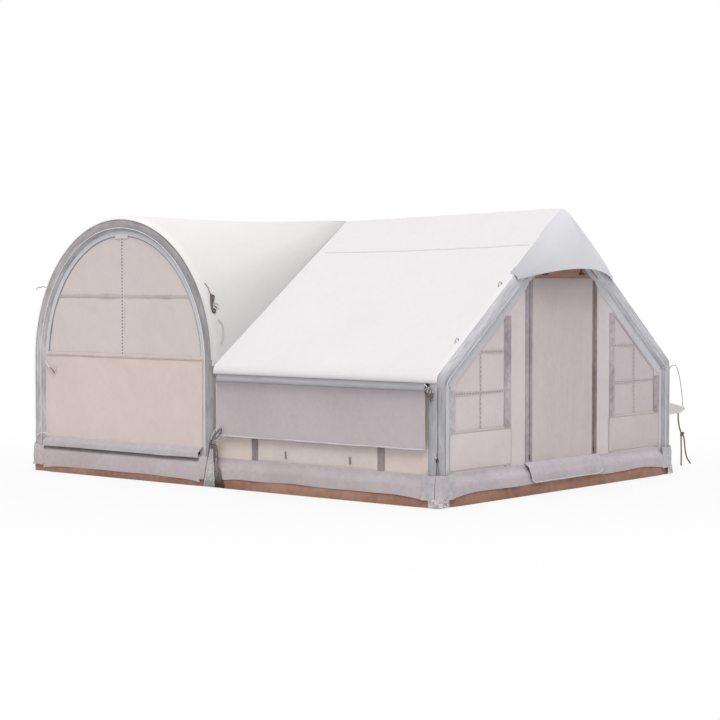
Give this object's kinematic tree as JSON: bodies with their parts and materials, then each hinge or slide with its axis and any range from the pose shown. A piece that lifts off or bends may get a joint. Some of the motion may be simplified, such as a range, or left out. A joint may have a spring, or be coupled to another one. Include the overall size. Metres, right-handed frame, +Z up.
{
  "type": "inflatable tent",
  "caption": "Air-beam cabin tent: a gabled hall with a hooded door end and flap-covered side windows, crossed by a barrel-vaulted bay with arched end windows and low doors.",
  "frame": {"origin": "Under the middle of the groundsheet, at ground level", "axes": "+X out through the gable door, along the ridge; +Y to the rear side; +Z up"},
  "size_m": [4.5725, 3.6186, 2.2],
  "materials": {
    "sleeve_cloth": "grey coated cloth sleeve with sewn seams",
    "bladder_film": "air-filled plastic film",
    "roof_cloth": "white coated roof cloth, matt",
    "floor_cloth": "brown coated groundsheet",
    "wall_cloth": "pale pinkish grey wall cloth, matt",
    "window_cloth": "fine window mesh, slightly darker than the wall",
    "skirt_cloth": "grey mud skirt cloth",
    "flap_cloth": "grey window flap cloth in folds",
    "tape_cloth": "dark grey zip tape",
    "zip_metal": "dull metal zip slider",
    "brown_leather": "dark brown toggle and strap",
    "valve_plastic": "black moulded plastic",
    "dark_cord": "dark braided cord",
    "brown_webbing": "brown webbing"
  },
  "bodies": {
    "tent": {"corner_tie_cord": "dark_cord", "door_zip_surround": "tape_cloth", "far_corner_cord": "dark_cord", "far_corner_fork": "brown_webbing", "far_corner_knot": "brown_webbing", "far_corner_strap": "brown_webbing", "far_corner_tab": "sleeve_cloth", "far_corner_tail": "brown_webbing", "flank_skirt": "skirt_cloth", "front_arch_bladder": "bladder_film", "front_arch_sleeve": "sleeve_cloth", "front_eave_beam_bladder": "bladder_film", "front_eave_beam_sleeve": "sleeve_cloth", "front_side_skirt": "skirt_cloth", "front_side_wall": "wall_cloth", "front_side_window": "window_cloth", "gable_beam_bladder": "bladder_film", "gable_beam_sleeve": "sleeve_cloth", "gable_pocket_left": "wall_cloth", "gable_pocket_right": "wall_cloth", "gable_skirt": "skirt_cloth", "gable_wall": "wall_cloth", "gable_window_left": "window_cloth", "gable_window_right": "window_cloth", "groundsheet": "floor_cloth", "hall_roof": "roof_cloth", "inflation_valve": "valve_plastic", "middle_beam_bladder": "bladder_film", "middle_beam_sleeve": "sleeve_cloth", "rear_arch_bladder": "bladder_film", "rear_arch_sleeve": "sleeve_cloth", "rear_eave_beam_bladder": "bladder_film", "rear_eave_beam_sleeve": "sleeve_cloth", "rear_side_skirt": "skirt_cloth", "rear_side_wall": "wall_cloth", "rear_side_window": "window_cloth", "ridge_beam_bladder": "bladder_film", "ridge_beam_sleeve": "sleeve_cloth", "seam_tie_cord": "dark_cord", "vault_beam_bladder": "bladder_film", "vault_beam_sleeve": "sleeve_cloth", "vault_canopy": "roof_cloth", "vault_front_skirt": "skirt_cloth", "vault_front_wall": "wall_cloth", "vault_front_window": "window_cloth", "vault_rear_skirt": "skirt_cloth", "vault_rear_wall": "wall_cloth", "vault_rear_window": "window_cloth", "visor_hood": "roof_cloth"},
    "door": {"door_panel": "wall_cloth", "door_hem_flap": "skirt_cloth"},
    "front_bay_door": {"vault_front_door": "wall_cloth"},
    "rear_bay_door": {"vault_rear_door": "wall_cloth"},
    "front_flap": {"front_side_flap": "flap_cloth"},
    "rear_flap": {"rear_side_flap": "flap_cloth"},
    "left_zip_slider": {"door_zip_slider_left": "zip_metal"},
    "right_zip_slider": {"door_zip_slider_right": "zip_metal"},
    "left_toggle": {"door_toggle_left": "brown_leather"},
    "right_toggle": {"door_toggle_right": "brown_leather"},
    "valve_cap": {"inflation_valve_cap": "valve_plastic"}
  },
  "joints": [
    {"name": "door_lift", "type": "hinge", "parent": "tent", "child": "door", "pos_m": [2.1783, 0, 1.65495], "axis": [0, -1, 0], "range_deg": [0, 80]},
    {"name": "front_bay_door_lift", "type": "hinge", "parent": "tent", "child": "front_bay_door", "pos_m": [-1.1195, -1.5998, 1.005], "axis": [-1, 0, 0], "range_deg": [0, 75]},
    {"name": "rear_bay_door_lift", "type": "hinge", "parent": "tent", "child": "rear_bay_door", "pos_m": [-1.1195, 1.5998, 1.005], "axis": [1, 0, 0], "range_deg": [0, 75]},
    {"name": "front_flap_lift", "type": "hinge", "parent": "tent", "child": "front_flap", "pos_m": [1.0605, -1.635, 0.8995], "axis": [-1, 0, 0], "range_deg": [0, 85]},
    {"name": "rear_flap_lift", "type": "hinge", "parent": "tent", "child": "rear_flap", "pos_m": [1.0605, 1.635, 0.8995], "axis": [1, 0, 0], "range_deg": [0, 85]},
    {"name": "left_zip_slide", "type": "slide", "parent": "tent", "child": "left_zip_slider", "axis": [0, 0, 1], "range_m": [0, 1.3]},
    {"name": "right_zip_slide", "type": "slide", "parent": "tent", "child": "right_zip_slider", "axis": [0, 0, 1], "range_m": [0, 1.3]},
    {"name": "left_toggle_swing", "type": "hinge", "parent": "tent", "child": "left_toggle", "pos_m": [2.177, -0.26, 1.74238], "axis": [0, -1, 0], "range_deg": [0, 80]},
    {"name": "right_toggle_swing", "type": "hinge", "parent": "tent", "child": "right_toggle", "pos_m": [2.177, 0.26, 1.74238], "axis": [0, -1, 0], "range_deg": [0, 80]},
    {"name": "valve_cap_turn", "type": "hinge", "parent": "tent", "child": "valve_cap", "pos_m": [2.1395, 1.64725, 0.42], "axis": [0, 1, 0], "continuous": true}
  ]
}
